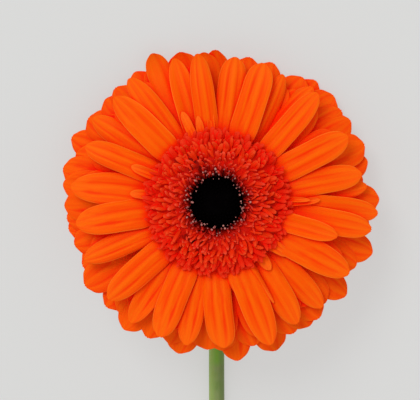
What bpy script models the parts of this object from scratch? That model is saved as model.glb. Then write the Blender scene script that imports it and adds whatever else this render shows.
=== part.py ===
"""A cut gerbera lying on a flat surface with its flower face up.

The stem lies along -Y. The head leans back from the upward direction, so that the far
petals and the stem carry the flower. Every floret, bract ring and the stem is its own
closed solid. The origin is at the middle of the underside of the whole flower.
"""
import math

import bpy
import numpy as np

MM = 0.001
SHARP_ANGLE = math.radians(40.0)

# Pose of the head
LEAN = math.radians(24.0)      # how far the face leans back from straight up
HEAD_HEIGHT = 31.0 * MM        # centre of the receptacle's top above the surface

# Receptacle: the green cushion that carries all florets
SEAT_RADIUS_TOP = 11.9 * MM
SEAT_FLARE = 0.07              # the side wall widens downward by this share of its depth
RECEPTACLE_DEPTH = 14.0 * MM
GAP = 0.3 * MM                 # clearance between a piece and what carries it

# Ray florets: levels are stacked around the receptacle and fan apart toward the rim
LEVEL_ZERO = -7.6 * MM
LEVEL_PITCH = 1.0 * MM
LEVEL_ZERO_SLOPE = math.radians(-7.0)
LEVEL_FAN = math.radians(1.6)
RAY_THICKNESS = 0.5 * MM
RAY_ARCH = 3.0 * MM            # rise of every ray floret midway between claw and tip
RAY_ARCH_START = 12.0 * MM
RAY_ARCH_SPAN = 44.0 * MM
RAY_FOLD = 0.12                # how far the edges hang below the midrib, per half width
CLAW_HALF_WIDTH = 0.9 * MM
TIP_HALF_WIDTH = 1.0 * MM
WIDEST_AT = 0.62               # share of the length where a ray floret is widest
TIP_BLUNTNESS = 2.6            # higher is squarer
RAY_STEPS = 9
STEP_CROWDING = 1.35           # gathers the steps toward the tip
SURFACE_SOFTNESS = 1.0 * MM    # how gently petals bend where they meet the surface

# Front ray florets: direction, turn of the tip (degrees), tip radius, width (mm), level
FRONT_RAYS = (
    (4.5, 1.7, 52.9, 8.0, 3), (12.0, -0.8, 51.5, 8.6, 5), (26.3, 0.5, 51.1, 9.4, 6),
    (45.6, 1.8, 51.8, 8.2, 6), (53.5, -3.0, 52.5, 8.0, 3), (60.0, 2.7, 50.4, 7.0, 4),
    (70.4, 1.1, 51.3, 9.4, 6), (83.3, -0.3, 51.3, 9.2, 5), (97.5, 0.2, 52.4, 7.6, 6),
    (107.0, -0.2, 52.7, 8.2, 4), (114.5, -0.6, 57.2, 8.6, 3), (124.0, 1.6, 53.4, 8.0, 5),
    (133.9, 0.6, 51.5, 9.6, 6), (145.2, 0.7, 53.1, 8.6, 4), (155.6, 1.2, 50.2, 8.2, 6),
    (172.0, 1.9, 51.8, 11.0, 5), (188.0, 0.6, 50.1, 10.2, 6), (203.5, -0.2, 50.9, 8.2, 5),
    (221.0, 0.5, 51.1, 9.4, 6), (232.5, 1.5, 52.2, 8.2, 4), (244.0, 2.5, 51.3, 9.4, 6),
    (256.5, 0.9, 51.3, 8.2, 5), (268.5, 3.9, 50.9, 9.6, 6), (290.0, 0.5, 53.3, 10.0, 6),
    (305.0, -1.7, 50.9, 8.8, 5), (316.0, -1.0, 52.2, 8.2, 4), (331.5, 0.0, 52.4, 10.2, 6),
    (344.0, 0.2, 43.3, 6.6, 7), (350.5, -0.5, 54.9, 8.4, 5), (358.0, -1.9, 56.6, 8.0, 4),
)

# Back ray florets: direction (degrees) and tip radius (mm), on levels 0 and 1 in turn
BACK_RAYS = (
    (1.0, 57.5), (15.4, 55.4), (31.6, 55.4), (50.9, 55.6), (68.6, 53.1), (90.8, 54.0),
    (104.2, 54.7), (122.4, 54.8), (137.4, 54.0), (155.9, 56.8), (173.3, 55.2),
    (190.0, 53.8), (205.4, 52.9), (223.1, 54.3), (242.7, 54.1), (255.6, 55.6),
    (277.3, 56.8), (291.5, 56.8), (306.8, 54.8), (324.0, 56.6), (341.8, 58.0),
)
BACK_RAY_WIDTH = 9.4 * MM

# Crowns of small florets and bracts: profile points (radius, height) in mm, teeth,
# depth of the notch as a share of the length, thickness in mm
CROWNS = {
    "anther_tubes": (((8.3, 0.7), (8.6, 3.0), (9.3, 5.6)), 30, 0.75, 0.5),
    "trans_florets_inner": (((9.4, 0.8), (10.6, 4.8), (13.8, 8.0)), 32, 0.6, 0.6),
    "trans_florets_middle": (((10.3, 0.8), (13.8, 4.9), (20.8, 9.3)), 36, 0.6, 0.6),
    "trans_florets_outer": (((11.4, 0.65), (17.0, 3.8), (27.4, 7.8)), 40, 0.6, 0.6),
    "bracts_inner": (((4.6, -14.2), (8.5, -12.4), (12.2, -10.0), (16.6, -9.1)), 21, 0.7, 0.6),
    "bracts_outer": (((4.4, -15.2), (8.8, -13.6), (12.4, -11.5), (13.9, -10.7)), 18, 0.7, 0.6),
}

# Disc of unopened dark florets: profile (radius, height) in mm from its pole to its foot
DISC_PROFILE = ((2.6, 3.3), (5.2, 2.9), (7.2, 2.0), (7.7, 1.0), (7.6, 0.3))
DISC_POLE = 3.4 * MM

# Receptacle: rounding of its rim, heights of its floret seat (mm), profile (radius, height) below
RECEPTACLE_RIM = 0.4 * MM
RECEPTACLE_SIDE = (-0.3, -4.2, -8.1)
RECEPTACLE_FLARE = ((12.45, -8.2), (11.8, -8.9), (9.4, -10.5), (6.0, -12.5), (3.4, -13.7))
ROUND_STEPS = 36

# Stem
STEM_LENGTH = 400.0 * MM
STEM_RADIUS_NECK = 2.8 * MM
STEM_RADIUS_CUT = 3.4 * MM
STEM_SIDES = 12
NECK_RINGS = 14
NECK_SAMPLES = 201
LYING_RINGS = 26
BOW = 14.0 * MM                # sideways curve of the lying stem at its cut end
BOW_START = 70.0 * MM

COLOURS = {
    "ray": ((0.95, 0.13, 0.005), 0.5),
    "ray_back": ((0.85, 0.09, 0.005), 0.5),
    "trans": ((0.75, 0.03, 0.008), 0.5),
    "anther": ((0.35, 0.03, 0.03), 0.6),
    "disc": ((0.008, 0.006, 0.008), 0.6),
    "bract": ((0.16, 0.27, 0.06), 0.6),
    "receptacle": ((0.30, 0.38, 0.14), 0.6),
    "stem": ((0.20, 0.34, 0.08), 0.5),
}


def clear_scene():
    """Remove whatever the file started with."""
    for item in list(bpy.data.objects):
        bpy.data.objects.remove(item)


def make_material(name):
    colour, roughness = COLOURS[name]
    material = bpy.data.materials.new(name)
    material.use_nodes = True
    shader = material.node_tree.nodes["Principled BSDF"]
    shader.inputs["Base Color"].default_value = (*colour, 1.0)
    shader.inputs["Roughness"].default_value = roughness
    shader.inputs["Metallic"].default_value = 0.0
    return material


def add_solid(name, points, faces, material, parent):
    """One named object from its points and outward faces, shaded smooth up to the sharp angle."""
    mesh = bpy.data.meshes.new(name)
    mesh.from_pydata(points.reshape(-1, 3).tolist(), [], faces)
    mesh.materials.append(material)
    mesh.shade_smooth()
    mesh.set_sharp_from_angle(angle=SHARP_ANGLE)
    item = bpy.data.objects.new(name, mesh)
    bpy.context.collection.objects.link(item)
    item.parent = parent
    return item


def add_empty(name, parent=None):
    item = bpy.data.objects.new(name, None)
    bpy.context.collection.objects.link(item)
    item.parent = parent
    return item


def grid_faces(rows, columns, start=0, flip=False):
    """Quads of a rows x columns grid of points, numbered row by row from start."""
    faces = []
    for i in range(rows - 1):
        for j in range(columns - 1):
            a = start + i * columns + j
            quad = (a, a + columns, a + columns + 1, a + 1)
            faces.append(quad[::-1] if flip else quad)
    return faces


def ring_of_grid(rows, columns):
    """Point numbers around the border of a grid, anticlockwise seen from above."""
    first = [i * columns for i in range(rows)]
    end = [(rows - 1) * columns + j for j in range(1, columns)]
    last = [i * columns + columns - 1 for i in range(rows - 2, -1, -1)]
    back = list(range(columns - 2, 0, -1))
    return first + end + last + back


def thick_sheet(middle, thickness):
    """A closed slab around a grid of middle points: points and outward faces."""
    rows, columns = middle.shape[:2]
    half = np.array((0.0, 0.0, thickness / 2))
    points = np.concatenate((middle + half, middle - half))
    count = rows * columns
    faces = grid_faces(rows, columns) + grid_faces(rows, columns, count, flip=True)
    border = ring_of_grid(rows, columns)
    for a, b in zip(border, border[1:] + border[:1]):
        faces.append((a, a + count, b + count, b))
    return points, faces


def seat_radius(height):
    return SEAT_RADIUS_TOP - SEAT_FLARE * height


def ray_height(radius, level):
    """Height of a ray floret's midrib over the head's centre, before it meets the surface."""
    base = LEVEL_ZERO + LEVEL_PITCH * level
    slope = math.tan(LEVEL_ZERO_SLOPE + LEVEL_FAN * level)
    arch = RAY_ARCH * np.sin(np.pi * (radius - RAY_ARCH_START) / RAY_ARCH_SPAN)
    return base + slope * (radius - seat_radius(base)) + arch


def surface_lift(across, up):
    """How much petals are raised where the lowest ones would sink into the surface.

    across and up are the head's own X and Y. The lift is the same for all levels at a
    place, so petals keep their order.
    """
    surface = (math.sin(LEAN) * up - HEAD_HEIGHT) / math.cos(LEAN)
    lowest = ray_height(np.hypot(across, up), 0) - RAY_THICKNESS
    sunk = surface - lowest
    return (sunk + np.sqrt(sunk ** 2 + SURFACE_SOFTNESS ** 2)) / 2


def ray_half_width(share, width):
    """Half width along a ray floret: a narrow claw that widens to a strap with a blunt tip."""
    grow = np.clip(share / WIDEST_AT, 0, 1)
    grow = grow * grow * (3 - 2 * grow)
    body = CLAW_HALF_WIDTH + (width / 2 - CLAW_HALF_WIDTH) * grow
    end = np.clip((share - WIDEST_AT) / (1 - WIDEST_AT), 0, 1)
    return TIP_HALF_WIDTH + (body - TIP_HALF_WIDTH) * np.sqrt(1 - end ** TIP_BLUNTNESS)


def add_ray(name, direction, turn, tip_radius, width, level, material, head):
    """One ray floret along its own +X, turned to its direction around the head's axis."""
    base = LEVEL_ZERO + LEVEL_PITCH * level
    start = seat_radius(base) + GAP
    share = 1 - (1 - np.linspace(0, 1, RAY_STEPS)) ** STEP_CROWDING
    radius = start + (tip_radius - start) * share
    half = ray_half_width(share, width)
    side = np.array((-1.0, 0.0, 1.0))
    x = radius[:, None] + 0 * side
    y = half[:, None] * side + (radius * np.tan(np.radians(turn)) * share ** 2)[:, None]
    z = ray_height(np.hypot(x, y), level) - RAY_FOLD * half[:, None] * side ** 2
    angle = math.radians(direction)
    across = x * math.cos(angle) - y * math.sin(angle)
    up = x * math.sin(angle) + y * math.cos(angle)
    z = z + surface_lift(across, up)
    points, faces = thick_sheet(np.stack((x, y, z), axis=-1), RAY_THICKNESS)
    item = add_solid(name, points, faces, material, head)
    item.rotation_euler = (0.0, 0.0, angle)


def turned_solid(profile, top_pole, bottom_pole, steps):
    """A solid of revolution from a profile of (radius, height) rows that runs downward."""
    profile = np.array(profile)
    angle = np.arange(steps) * 2 * np.pi / steps
    rings = np.stack((profile[:, :1] * np.cos(angle), profile[:, :1] * np.sin(angle),
                      profile[:, 1:] + 0 * angle), axis=-1).reshape(-1, 3)
    poles = ((0.0, 0.0, top_pole), (0.0, 0.0, bottom_pole))
    points = np.concatenate((rings, poles))
    rows = len(profile)
    top, bottom = rows * steps, rows * steps + 1
    faces = []
    for j in range(steps):
        k = (j + 1) % steps
        faces.append((top, j, k))
        for i in range(rows - 1):
            faces.append((i * steps + j, (i + 1) * steps + j, (i + 1) * steps + k, i * steps + k))
        faces.append((bottom, (rows - 1) * steps + k, (rows - 1) * steps + j))
    return points, faces


def crown_solid(profile, teeth, notch, thickness):
    """A ring of pointed teeth: a bent profile swung round the axis, cut short in between."""
    profile = np.array(profile) * MM
    along = np.concatenate(([0.0], np.cumsum(np.hypot(*np.diff(profile, axis=0).T))))
    along = along / along[-1]
    columns = 2 * teeth
    rings = []
    for j in range(columns):
        reach = 1.0 if j % 2 == 0 else notch
        radius = np.interp(along * reach, along, profile[:, 0])
        height = np.interp(along * reach, along, profile[:, 1])
        slope_r = np.gradient(radius)
        slope_z = np.gradient(height)
        length = np.hypot(slope_r, slope_z)
        off_r = -slope_z / length * thickness / 2
        off_z = slope_r / length * thickness / 2
        loop_r = np.concatenate((radius + off_r, (radius - off_r)[::-1]))
        loop_z = np.concatenate((height + off_z, (height - off_z)[::-1]))
        angle = 2 * np.pi * j / columns
        rings.append(np.stack((loop_r * np.cos(angle), loop_r * np.sin(angle), loop_z), axis=-1))
    points = np.array(rings)
    size = points.shape[1]
    faces = []
    for j in range(columns):
        k = (j + 1) % columns
        for i in range(size):
            n = (i + 1) % size
            faces.append((j * size + i, j * size + n, k * size + n, k * size + i))
    return points, faces


def stem_path():
    """The stem's centre line and radius from under the head to the cut end, in world space.

    The neck turns smoothly from the head's axis to level over just the length that
    brings it down to the surface, and the rest lies there with a gentle bow.
    """
    depth = RECEPTACLE_DEPTH + GAP
    start_y = -depth * math.sin(LEAN)
    start_z = HEAD_HEIGHT - depth * math.cos(LEAN)
    fine = np.linspace(0, 1, NECK_SAMPLES)
    turn = LEAN + (math.pi / 2 - LEAN) * fine * fine * (3 - 2 * fine)
    step = fine[1]
    down = np.concatenate(([0.0], np.cumsum(np.cos(turn[:-1] / 2 + turn[1:] / 2) * step)))
    back = np.concatenate(([0.0], np.cumsum(np.sin(turn[:-1] / 2 + turn[1:] / 2) * step)))
    neck_length = (start_z - STEM_RADIUS_NECK) / down[-1]
    neck = np.linspace(0, 1, NECK_RINGS)
    lying = np.linspace(neck_length, STEM_LENGTH, LYING_RINGS)[1:]
    y = np.concatenate((
        start_y - neck_length * np.interp(neck, fine, back),
        start_y - neck_length * back[-1] - (lying - neck_length),
    ))
    z = np.concatenate((
        start_z - neck_length * np.interp(neck, fine, down),
        np.full(lying.shape, STEM_RADIUS_NECK),
    ))
    along = np.concatenate((neck * neck_length, lying))
    radius = STEM_RADIUS_NECK + (STEM_RADIUS_CUT - STEM_RADIUS_NECK) * (along / STEM_LENGTH)
    resting = along > neck_length
    z = z + np.where(resting, radius - STEM_RADIUS_NECK, 0.0)
    bow = np.clip((along - BOW_START) / (STEM_LENGTH - BOW_START), 0, 1)
    x = BOW * bow ** 2
    return np.stack((x, y, z), axis=-1), radius


def add_stem(material, parent):
    path, radius = stem_path()
    tangent = np.gradient(path, axis=0)
    tangent /= np.linalg.norm(tangent, axis=1)[:, None]
    sideways = np.array((1.0, 0.0, 0.0))
    first = sideways - (tangent @ sideways)[:, None] * tangent
    first /= np.linalg.norm(first, axis=1)[:, None]
    second = np.cross(tangent, first)
    angle = (np.arange(STEM_SIDES) + 0.5) * 2 * np.pi / STEM_SIDES
    spokes = (np.cos(angle)[None, :, None] * first[:, None, :]
              + np.sin(angle)[None, :, None] * second[:, None, :])
    points = path[:, None, :] + radius[:, None, None] * spokes
    rows = len(path)
    faces = [tuple(range(STEM_SIDES))[::-1]]
    for i in range(rows - 1):
        for j in range(STEM_SIDES):
            k = (j + 1) % STEM_SIDES
            a, b = i * STEM_SIDES, (i + 1) * STEM_SIDES
            faces.append((a + j, a + k, b + k, b + j))
    faces.append(tuple((rows - 1) * STEM_SIDES + j for j in range(STEM_SIDES)))
    add_solid("stem", points, faces, material, parent)


def add_receptacle(material, head):
    side = [(seat_radius(z * MM), z * MM) for z in RECEPTACLE_SIDE]
    rim = [(SEAT_RADIUS_TOP - RECEPTACLE_RIM, 0.0)]
    flare = [(r * MM, z * MM) for r, z in RECEPTACLE_FLARE]
    foot = [(STEM_RADIUS_NECK, -RECEPTACLE_DEPTH)]
    points, faces = turned_solid(rim + side + flare + foot, 0.0, -RECEPTACLE_DEPTH, ROUND_STEPS)
    add_solid("receptacle", points, faces, material, head)


def add_disc(material, head):
    profile = [(r * MM, z * MM) for r, z in DISC_PROFILE]
    points, faces = turned_solid(profile, DISC_POLE, profile[-1][1], ROUND_STEPS)
    add_solid("disc_florets", points, faces, material, head)


def crown_material(name, materials):
    if name.startswith("bracts"):
        return materials["bract"]
    return materials["anther" if name == "anther_tubes" else "trans"]


def set_origin(root):
    """Move the whole flower so that the origin is at the middle of its underside."""
    bpy.context.view_layer.update()
    corners = []
    for item in bpy.data.objects:
        if item.type == "MESH":
            corners += [item.matrix_world @ vertex.co for vertex in item.data.vertices]
    corners = np.array(corners)
    low, high = corners.min(axis=0), corners.max(axis=0)
    root.location = (-(low[0] + high[0]) / 2, -(low[1] + high[1]) / 2, -low[2])


def main():
    clear_scene()
    materials = {name: make_material(name) for name in COLOURS}
    root = add_empty("gerbera")
    head = add_empty("head", root)
    head.location = (0.0, 0.0, HEAD_HEIGHT)
    head.rotation_euler = (-LEAN, 0.0, 0.0)
    add_stem(materials["stem"], root)
    add_receptacle(materials["receptacle"], head)
    add_disc(materials["disc"], head)
    for name, (profile, teeth, notch, thickness) in CROWNS.items():
        points, faces = crown_solid(profile, teeth, notch, thickness * MM)
        add_solid(name, points, faces, crown_material(name, materials), head)
    for number, (direction, turn, tip, width, level) in enumerate(FRONT_RAYS, 1):
        name = f"ray_front_{number:02d}"
        add_ray(name, direction, turn, tip * MM, width * MM, level, materials["ray"], head)
    for number, (direction, tip) in enumerate(BACK_RAYS, 1):
        name = f"ray_back_{number:02d}"
        level = number % 2
        add_ray(name, direction, 0.0, tip * MM, BACK_RAY_WIDTH, level, materials["ray_back"], head)
    set_origin(root)


main()
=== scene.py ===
# %% [markdown]
# # A cut gerbera lying face up
# A gerbera is not one flower but a head of several hundred small ones, called florets.
# The outer florets each carry one long strap, the "petal". The next ones carry short curled
# lips that make a fringe, and the middle is packed with dark buds.
# The CAD model fixes where everything is. This script keeps those places and gives every
# piece its real surface.

# %% Load the fixed frame
import math
import bpy
from mathutils import Matrix
import numpy as np


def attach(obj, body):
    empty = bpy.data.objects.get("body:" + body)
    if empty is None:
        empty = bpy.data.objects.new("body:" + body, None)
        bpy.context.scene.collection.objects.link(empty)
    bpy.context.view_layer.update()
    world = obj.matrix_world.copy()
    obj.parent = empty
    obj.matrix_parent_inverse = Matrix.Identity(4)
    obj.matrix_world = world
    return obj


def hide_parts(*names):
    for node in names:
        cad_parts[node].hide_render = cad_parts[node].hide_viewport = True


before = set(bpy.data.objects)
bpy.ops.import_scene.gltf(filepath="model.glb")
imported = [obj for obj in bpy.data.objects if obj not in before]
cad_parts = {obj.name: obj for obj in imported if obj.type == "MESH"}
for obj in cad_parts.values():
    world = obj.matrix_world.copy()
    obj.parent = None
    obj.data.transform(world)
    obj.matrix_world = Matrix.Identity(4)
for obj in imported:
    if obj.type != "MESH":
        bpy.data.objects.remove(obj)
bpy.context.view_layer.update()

MM = 0.001
scene = bpy.context.scene
rng = np.random.default_rng(11)

# %% [markdown]
# ## The head's own directions
# The flower leans back, so "outward from the middle" is easier to say in the head's own
# frame: side, up along the face, and straight out of the face. We could copy the lean angle
# from the CAD, but measuring it keeps the two models together. The disc and the receptacle
# are both round about the same axis, so the line through their centres is that axis.

# %% Measure the head's frame
def node_points(name):
    """All corners of a CAD node, as rows of x, y, z in metres."""
    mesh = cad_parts[name].data
    flat = np.empty(3 * len(mesh.vertices), np.float32)
    mesh.vertices.foreach_get("co", flat)
    return flat.reshape(-1, 3).astype(float)


def unit(vectors):
    """The same directions with length one."""
    return vectors / np.linalg.norm(vectors, axis=-1, keepdims=True)


cushion = node_points("receptacle")
cushion_middle = cushion.mean(axis=0)
out_of_face = unit(node_points("disc_florets").mean(axis=0) - cushion_middle)
sideways = np.array((1.0, 0.0, 0.0))
face_up = np.cross(out_of_face, sideways)
head_axes = np.stack((sideways, face_up, out_of_face))
cushion_heights = (cushion - cushion_middle) @ out_of_face
head_centre = cushion_middle + out_of_face * cushion_heights.max()
cushion_depth = np.ptp(cushion_heights)


def to_head(points):
    """World points in the head's frame."""
    return (points - head_centre) @ head_axes.T


def to_world(points):
    """Points in the head's frame, back in the world."""
    return points @ head_axes + head_centre


lean = math.degrees(math.acos(out_of_face[2]))
print(f"the face leans back {lean:.1f} degrees; its centre is {head_centre[2] / MM:.1f} mm up")

# %% [markdown]
# ## Sheets with two sides
# Every petal, lip and bract is a thin leaf. A flat plane would look right from one side only,
# and a Solidify modifier would give an even wall. Here each leaf is a grid for its upper side
# and one for its lower side, joined round the border, so its edge can be thinner.

# %% Helpers that turn grids into meshes
def grid_quads(rows, columns):
    """Corner numbers of every quad in a grid: rows run along the leaf, columns across it."""
    first = (np.arange(rows - 1)[:, None] * columns + np.arange(columns - 1)).ravel()
    return np.stack((first, first + columns, first + columns + 1, first + 1), axis=1)


def border_loop(rows, columns):
    """Point numbers once round a grid's border, anticlockwise seen from its upper side."""
    number = np.arange(rows * columns).reshape(rows, columns)
    return np.concatenate((number[:, 0], number[-1, 1:], number[-2::-1, -1],
                           number[0, -2:0:-1]))


def slab_faces(rows, columns):
    """Faces of a closed leaf: upper grid, lower grid turned over, and the rim between."""
    count = rows * columns
    upper = grid_quads(rows, columns)
    border = border_loop(rows, columns)
    following = np.roll(border, -1)
    rim = np.stack((border, border + count, following + count, following), axis=1)
    return np.concatenate((upper, upper[:, ::-1] + count, rim))


def many(faces, points_each, copies):
    """The same faces again for every copy, with the point numbers moved on."""
    shift = (np.arange(copies) * points_each)[:, None, None]
    return (faces[None] + shift).reshape(-1, faces.shape[1])


def link_object(name, data):
    """A new object in the scene for a mesh, a lamp or a camera."""
    item = bpy.data.objects.new(name, data)
    scene.collection.objects.link(item)
    return item


def make_piece(name, points, faces, uv, finish, stands_for=(), closed=False):
    """One named piece at the origin with its place in its mesh, a UV map and its finish.

    When the V of a piece runs all the way round (closed), a face that reaches over the seam
    runs on past 1, where it would otherwise squeeze the whole pattern into one column.
    """
    mesh = bpy.data.meshes.new(name)
    mesh.from_pydata(points.tolist(), [], [list(map(int, face)) for face in faces])
    layer = mesh.uv_layers.new(name="UVMap")
    corners = np.empty(len(mesh.loops), np.int32)
    mesh.loops.foreach_get("vertex_index", corners)
    corner_uv = uv.reshape(-1, 2)[corners].astype(np.float32)
    if closed:
        owner = np.repeat(np.arange(len(faces)), [len(face) for face in faces])
        furthest = np.zeros(len(faces))
        np.maximum.at(furthest, owner, corner_uv[:, 1])
        corner_uv[:, 1] += (furthest[owner] > 0.75) & (corner_uv[:, 1] < 0.25)
    layer.data.foreach_set("uv", corner_uv.ravel())
    mesh.shade_smooth()
    mesh.materials.append(finish)
    piece = link_object(name, mesh)
    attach(piece, "root")
    if stands_for:
        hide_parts(*stands_for)


print("a 3 x 4 leaf has", len(slab_faces(3, 4)), "faces")

# %% [markdown]
# ## Petal colour
# A gerbera petal is one colour to the eye, yet it is never flat. Fine nerves run along it.
# Its thin edges let light through, and that light is painted in as a pale highlight along
# the rim. The colour deepens where the petal tucks under the fringe: partly its own deeper
# base, partly painted shade. The grooves get painted shade as faint darker lines. Where
# petals crowd, light has bounced off red neighbours on its way in, so the gaps are not grey
# but a deep, saturated red, and the group paints that shade into the colour. A darker
# material would miss that. The node group below gives those changes. Most come from the
# petal's own UV map: U runs from the claw to the tip and V from edge to edge. The painted
# shade of crowded spots comes from an ambient occlusion node, which measures how open a
# spot is. The group hands out only a colour, a roughness and a height, and the shader stays
# in each material.

# %% Node helpers and the petal group
def set_inputs(tree, node, inputs):
    """A node's inputs, each given as a plain value or as another node's output."""
    for key, value in inputs.items():
        if isinstance(value, bpy.types.NodeSocket):
            tree.links.new(value, node.inputs[key])
        else:
            node.inputs[key].default_value = value


def add_node(tree, kind, inputs=None, **settings):
    """A new node with its settings and inputs."""
    node = tree.nodes.new(kind)
    for key, value in settings.items():
        setattr(node, key, value)
    set_inputs(tree, node, inputs or {})
    return node


def new_material(name):
    """A material, its node tree and its Principled shader."""
    material = bpy.data.materials.new(name)
    material.use_nodes = True
    return material, material.node_tree, material.node_tree.nodes["Principled BSDF"]


def math_node(tree, operation, first, second=0.0, third=0.0):
    """The result of one Math node."""
    return add_node(tree, "ShaderNodeMath", {0: first, 1: second, 2: third},
                    operation=operation).outputs[0]


def times(tree, first, second):
    """The product of two values."""
    return math_node(tree, "MULTIPLY", first, second)


def coordinates(tree):
    """U and V of the piece's own map, and the place in the object's coordinates."""
    uv = add_node(tree, "ShaderNodeUVMap", uv_map="UVMap").outputs["UV"]
    uv = add_node(tree, "ShaderNodeSeparateXYZ", {"Vector": uv}).outputs
    return uv["X"], uv["Y"], add_node(tree, "ShaderNodeTexCoord").outputs["Object"]


def fade(tree, value, start, end, low=0.0, high=1.0):
    """A smooth change from low to high while value goes from start to end."""
    node = add_node(tree, "ShaderNodeMapRange",
                    {"Value": value, "From Min": start, "From Max": end,
                     "To Min": low, "To Max": high}, interpolation_type="SMOOTHSTEP")
    return node.outputs["Result"]


def noise(tree, place, scale, detail=2.0):
    """Soft random values between about 0.3 and 0.7."""
    return add_node(tree, "ShaderNodeTexNoise",
                    {"Vector": place, "Scale": scale, "Detail": detail}).outputs["Fac"]


def blend_colour(tree, share, first, second):
    """The first colour where share is 0 and the second where it is 1."""
    return add_node(tree, "ShaderNodeMix", {0: share, 6: first, 7: second},
                    data_type="RGBA").outputs[2]


def leaf_group():
    """Nerves, painted groove shade, mottling, painted edge highlight, deep base and painted
    crowd shade.

    Mixed in this order: Body turns to Deep by the strongest of base and streaks, then to
    Edge along the rim and the tip, a painted highlight, then to Shade, a painted shade where
    the spot is closed in.
    """
    tree = bpy.data.node_groups.new("leaf surface", "ShaderNodeTree")
    for way, kind, names in (
            ("INPUT", "Color", ("Body", "Deep", "Edge", "Shade")),
            ("INPUT", "Float", ("Nerves", "Edge Share", "Base Reach", "Mottle", "Tip Share",
                                "Cloud Scale", "Shade Distance")),
            ("OUTPUT", "Color", ("Color",)), ("OUTPUT", "Float", ("Roughness", "Height"))):
        for name in names:
            tree.interface.new_socket(name, in_out=way, socket_type="NodeSocket" + kind)
    given = tree.nodes.new("NodeGroupInput").outputs
    along, across, place = coordinates(tree)
    cloud = noise(tree, place, given["Cloud Scale"])
    own = add_node(tree, "ShaderNodeCombineXYZ",
                   {"X": times(tree, along, 0.7),
                    "Y": times(tree, across, 5.5),
                    "Z": times(tree, cloud, 9.0)}).outputs["Vector"]
    streak = noise(tree, own, 1.0, 3.0)
    grain = noise(tree, place, 2600.0)
    wander = times(tree, streak, 1.2)
    phase = math_node(tree, "MULTIPLY_ADD", across, given["Nerves"], wander)
    nerve = math_node(tree, "SINE", times(tree, phase, 2 * math.pi))
    nerve = math_node(tree, "MULTIPLY_ADD", nerve, 0.5, 0.5)
    from_middle = math_node(tree, "MULTIPLY_ADD", across, 2.0, -1.0)
    from_middle = math_node(tree, "ABSOLUTE", from_middle)
    # painted highlight along the thin rim, for light that shines through it
    edge_highlight = times(tree, fade(tree, from_middle, 0.91, 1.0), given["Edge Share"])
    # the paler tip: partly the leaf's own colour, partly a painted highlight
    tip = times(tree, fade(tree, along, 0.62, 1.0), given["Tip Share"])
    # painted shade: the two grooves are drawn as darker lines, for the shade in their creases
    ridge = math_node(tree, "COSINE", times(tree, across, 6 * math.pi))
    groove = math_node(tree, "POWER", math_node(tree, "MULTIPLY_ADD", ridge, 0.5, 0.5), 3.0)
    groove = times(tree, groove, fade(tree, along, 1.0, 0.75, 0.0, 0.38))
    groove = times(tree, groove, fade(tree, cloud, 0.38, 0.62, 0.25, 1.75))
    # the deep base: partly the leaf's own deeper colour at the claw, partly painted shade under
    # the fringe and between petals
    base = fade(tree, math_node(tree, "DIVIDE", along, given["Base Reach"]), 1.0, 0.0)
    darker = times(tree, nerve, 0.07)
    uneven = fade(tree, streak, 0.38, 0.66)
    darker = math_node(tree, "MULTIPLY_ADD", uneven, given["Mottle"], darker)
    darker = math_node(tree, "ADD", darker, groove)
    darker = math_node(tree, "MAXIMUM", darker, base)
    colour = blend_colour(tree, darker, given["Body"], given["Deep"])
    pale = math_node(tree, "MAXIMUM", edge_highlight, tip)
    colour = blend_colour(tree, pale, colour, given["Edge"])
    # painted shade: where the ambient occlusion node finds the spot closed in, the colour turns
    # to the saturated red of light bounced between petals
    openness = add_node(tree, "ShaderNodeAmbientOcclusion",
                        {"Distance": given["Shade Distance"]}, samples=8).outputs["AO"]
    colour = blend_colour(tree, fade(tree, openness, 0.92, 0.42), colour, given["Shade"])
    height = math_node(tree, "MULTIPLY_ADD", grain, 0.35, nerve)
    rough = fade(tree, grain, 0.3, 0.7, 0.42, 0.6)
    add_node(tree, "NodeGroupOutput", {"Color": colour, "Roughness": rough, "Height": height})
    return tree


LEAF = leaf_group()


def leaf_finish(name, body, deep, edge_highlight, nerves=7.0, edge_share=0.5, base_reach=0.35,
                mottle=0.5, relief=0.00002, glow=0.06, gloss=0.02, tip_share=0.1,
                cloud_scale=45.0, shade=None, shade_distance=0.005):
    """A soft plant leaf: the shared group on a Principled shader that lets light wander in."""
    material, tree, shader = new_material(name)
    surface = add_node(tree, "ShaderNodeGroup", {
        "Body": (*body, 1), "Deep": (*deep, 1), "Edge": (*edge_highlight, 1),
        "Shade": (*(shade or deep), 1), "Nerves": nerves, "Edge Share": edge_share,
        "Base Reach": base_reach, "Mottle": mottle, "Tip Share": tip_share,
        "Cloud Scale": cloud_scale, "Shade Distance": shade_distance,
    }, node_tree=LEAF).outputs
    bump = add_node(tree, "ShaderNodeBump",
                    {"Height": surface["Height"], "Distance": relief, "Strength": 0.8})
    set_inputs(tree, shader, {
        "Base Color": surface["Color"], "Roughness": surface["Roughness"],
        "Normal": bump.outputs["Normal"], "Specular IOR Level": gloss,
        "Subsurface Weight": glow, "Subsurface Radius": (1.0, 0.2, 0.05),
        "Subsurface Scale": 0.001,
    })
    return material


PETAL_CLOUDS, PETAL_SHADE_REACH = 14.0, 0.008
# shade is the colour of the painted shade in crowded spots
petal_finish = leaf_finish(
    "petal_orange", (0.96, 0.121, 0.0012), (0.92, 0.034, 0.0006), (1.0, 0.23, 0.02),
    base_reach=0.40, edge_share=0.7, cloud_scale=PETAL_CLOUDS, shade=(1.0, 0.016, 0.0005),
    shade_distance=PETAL_SHADE_REACH)
# the back petals' finish paints the shade they lie in: a deeper, redder copy of the front one,
# deep over most of its length
shaded_back_finish = leaf_finish(
    "petal_orange_back", (0.96, 0.106, 0.0012), (0.90, 0.012, 0.0006), (1.0, 0.20, 0.015),
    base_reach=0.8, edge_share=0.4, cloud_scale=PETAL_CLOUDS, shade=(1.0, 0.010, 0.0005),
    shade_distance=PETAL_SHADE_REACH)


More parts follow.
